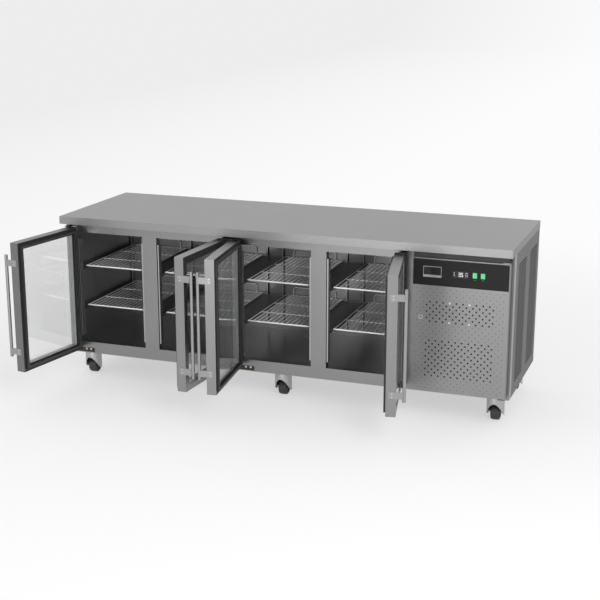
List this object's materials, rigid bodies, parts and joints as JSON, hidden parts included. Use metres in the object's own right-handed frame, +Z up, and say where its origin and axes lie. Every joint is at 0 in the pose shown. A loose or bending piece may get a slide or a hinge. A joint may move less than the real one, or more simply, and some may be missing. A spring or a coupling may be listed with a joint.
{
  "type": "under counter fridge",
  "caption": "Refrigerated worktop cabinet on castors, with hinged glass doors, wire shelves and a refrigeration unit behind a perforated service door.",
  "frame": {"origin": "on the floor, under the middle of the outline with the doors open as at rest", "axes": "+X to the right along the front, +Y from the doors to the back, +Z up"},
  "size_m": [2.3043, 1.1024, 0.835],
  "materials": {
    "stainless": "brushed stainless sheet",
    "dark_stainless": "satin stainless in shade",
    "foam": "rigid foam between the skins",
    "wire": "bright plated wire",
    "hinge_plate": "dark passivated plate",
    "glass": "clear double glazing",
    "seal": "dark magnetic gasket and inner frame",
    "fascia": "dark control fascia",
    "black_plastic": "moulded black plastic",
    "black_shell": "black enamel",
    "zinc": "zinc plated steel",
    "tyre": "black rubber",
    "coil": "dark coated coil and shroud",
    "green_lens": "lit green lens"
  },
  "bodies": {
    "cabinet": {"worktop": "stainless", "outer_casing": "stainless", "insulation": "foam", "inner_liner": "dark_stainless", "front_frame": "stainless", "door_1_lower_hinge": "hinge_plate", "door_2_lower_hinge": "hinge_plate", "door_3_lower_hinge": "hinge_plate", "door_4_lower_hinge": "hinge_plate", "shelf_rack_left": "dark_stainless", "shelf_rack_1": "dark_stainless", "shelf_rack_2": "dark_stainless", "shelf_rack_3": "dark_stainless", "shelf_rack_right": "dark_stainless", "shelf_1_lower": "wire", "shelf_1_upper": "wire", "shelf_2_lower": "wire", "shelf_2_upper": "wire", "shelf_3_lower": "wire", "shelf_3_upper": "wire", "shelf_4_lower": "wire", "shelf_4_upper": "wire", "right_side_panel": "stainless", "compressor": "black_shell", "condenser": "coil"},
    "door_1": {"door_1_frame": "stainless", "door_1_glass": "glass", "door_1_gasket": "seal", "door_1_handle": "stainless"},
    "door_2": {"door_2_frame": "stainless", "door_2_glass": "glass", "door_2_gasket": "seal", "door_2_handle": "stainless"},
    "door_3": {"door_3_frame": "stainless", "door_3_glass": "glass", "door_3_gasket": "seal", "door_3_handle": "stainless"},
    "door_4": {"door_4_frame": "stainless", "door_4_glass": "glass", "door_4_gasket": "seal", "door_4_handle": "stainless"},
    "service_leaf": {"service_door": "stainless", "control_fascia": "fascia", "controller": "black_plastic"},
    "rocker_1": {"rocker_switch_1": "green_lens"},
    "rocker_2": {"rocker_switch_2": "green_lens"},
    "lock": {"door_lock": "zinc"},
    "castor_1": {"castor_1_hood": "zinc"},
    "wheel_1": {"castor_1_wheel": "tyre"},
    "castor_2": {"castor_2_hood": "zinc"},
    "wheel_2": {"castor_2_wheel": "tyre"},
    "castor_3": {"castor_3_hood": "zinc"},
    "wheel_3": {"castor_3_wheel": "tyre"},
    "castor_4": {"castor_4_hood": "zinc"},
    "wheel_4": {"castor_4_wheel": "tyre"},
    "castor_5": {"castor_5_hood": "zinc"},
    "wheel_5": {"castor_5_wheel": "tyre"},
    "castor_6": {"castor_6_hood": "zinc"},
    "wheel_6": {"castor_6_wheel": "tyre"},
    "fan": {"condenser_fan": "black_plastic"}
  },
  "joints": [
    {"name": "door_1_hinge", "type": "hinge", "parent": "cabinet", "child": "door_1", "pos_m": [-1.03837, -0.13431, 0], "axis": [0, 0, -1], "range_deg": [-99.2, 10.8]},
    {"name": "door_2_hinge", "type": "hinge", "parent": "cabinet", "child": "door_2", "pos_m": [-0.20787, -0.13431, 0], "axis": [0, 0, 1], "range_deg": [-86.5, 0]},
    {"name": "door_3_hinge", "type": "hinge", "parent": "cabinet", "child": "door_3", "pos_m": [-0.17087, -0.13431, 0], "axis": [0, 0, -1], "range_deg": [-82.9, 0]},
    {"name": "door_4_hinge", "type": "hinge", "parent": "cabinet", "child": "door_4", "pos_m": [0.65963, -0.13431, 0], "axis": [0, 0, 1], "range_deg": [-101.8, 8.2]},
    {"name": "service_door_hinge", "type": "hinge", "parent": "cabinet", "child": "service_leaf", "pos_m": [1.12963, -0.13431, 0], "axis": [0, 0, 1], "range_deg": [0, 100]},
    {"name": "rocker_1_tilt", "type": "hinge", "parent": "service_leaf", "child": "rocker_1", "pos_m": [0.98863, -0.14031, 0.708], "axis": [1, 0, 0], "range_deg": [-14, 0]},
    {"name": "rocker_2_tilt", "type": "hinge", "parent": "service_leaf", "child": "rocker_2", "pos_m": [1.02463, -0.14031, 0.708], "axis": [1, 0, 0], "range_deg": [-14, 0]},
    {"name": "lock_turn", "type": "hinge", "parent": "service_leaf", "child": "lock", "pos_m": [0.74863, -0.14031, 0.499], "axis": [0, 1, 0], "range_deg": [0, 90]},
    {"name": "castor_1_swivel", "type": "hinge", "parent": "cabinet", "child": "castor_1", "pos_m": [-1.00237, -0.00331, 0], "axis": [0, 0, 1], "continuous": true},
    {"name": "castor_1_roll", "type": "hinge", "parent": "castor_1", "child": "wheel_1", "pos_m": [-1.00237, 0.00969, 0.03622], "axis": [1, 0, 0], "continuous": true},
    {"name": "castor_2_swivel", "type": "hinge", "parent": "cabinet", "child": "castor_2", "pos_m": [0.03763, -0.00331, 0], "axis": [0, 0, 1], "continuous": true},
    {"name": "castor_2_roll", "type": "hinge", "parent": "castor_2", "child": "wheel_2", "pos_m": [0.03763, 0.00969, 0.03622], "axis": [1, 0, 0], "continuous": true},
    {"name": "castor_3_swivel", "type": "hinge", "parent": "cabinet", "child": "castor_3", "pos_m": [1.07763, -0.00331, 0], "axis": [0, 0, 1], "continuous": true},
    {"name": "castor_3_roll", "type": "hinge", "parent": "castor_3", "child": "wheel_3", "pos_m": [1.07763, 0.00969, 0.03622], "axis": [1, 0, 0], "continuous": true},
    {"name": "castor_4_swivel", "type": "hinge", "parent": "cabinet", "child": "castor_4", "pos_m": [-1.00237, 0.45869, 0], "axis": [0, 0, 1], "continuous": true},
    {"name": "castor_4_roll", "type": "hinge", "parent": "castor_4", "child": "wheel_4", "pos_m": [-1.00237, 0.47169, 0.03622], "axis": [1, 0, 0], "continuous": true},
    {"name": "castor_5_swivel", "type": "hinge", "parent": "cabinet", "child": "castor_5", "pos_m": [0.03763, 0.45869, 0], "axis": [0, 0, 1], "continuous": true},
    {"name": "castor_5_roll", "type": "hinge", "parent": "castor_5", "child": "wheel_5", "pos_m": [0.03763, 0.47169, 0.03622], "axis": [1, 0, 0], "continuous": true},
    {"name": "castor_6_swivel", "type": "hinge", "parent": "cabinet", "child": "castor_6", "pos_m": [1.07763, 0.45869, 0], "axis": [0, 0, 1], "continuous": true},
    {"name": "castor_6_roll", "type": "hinge", "parent": "castor_6", "child": "wheel_6", "pos_m": [1.07763, 0.47169, 0.03622], "axis": [1, 0, 0], "continuous": true},
    {"name": "fan_spin", "type": "hinge", "parent": "cabinet", "child": "fan", "pos_m": [0.92913, 0.08269, 0.2818], "axis": [0, 1, 0], "continuous": true}
  ]
}
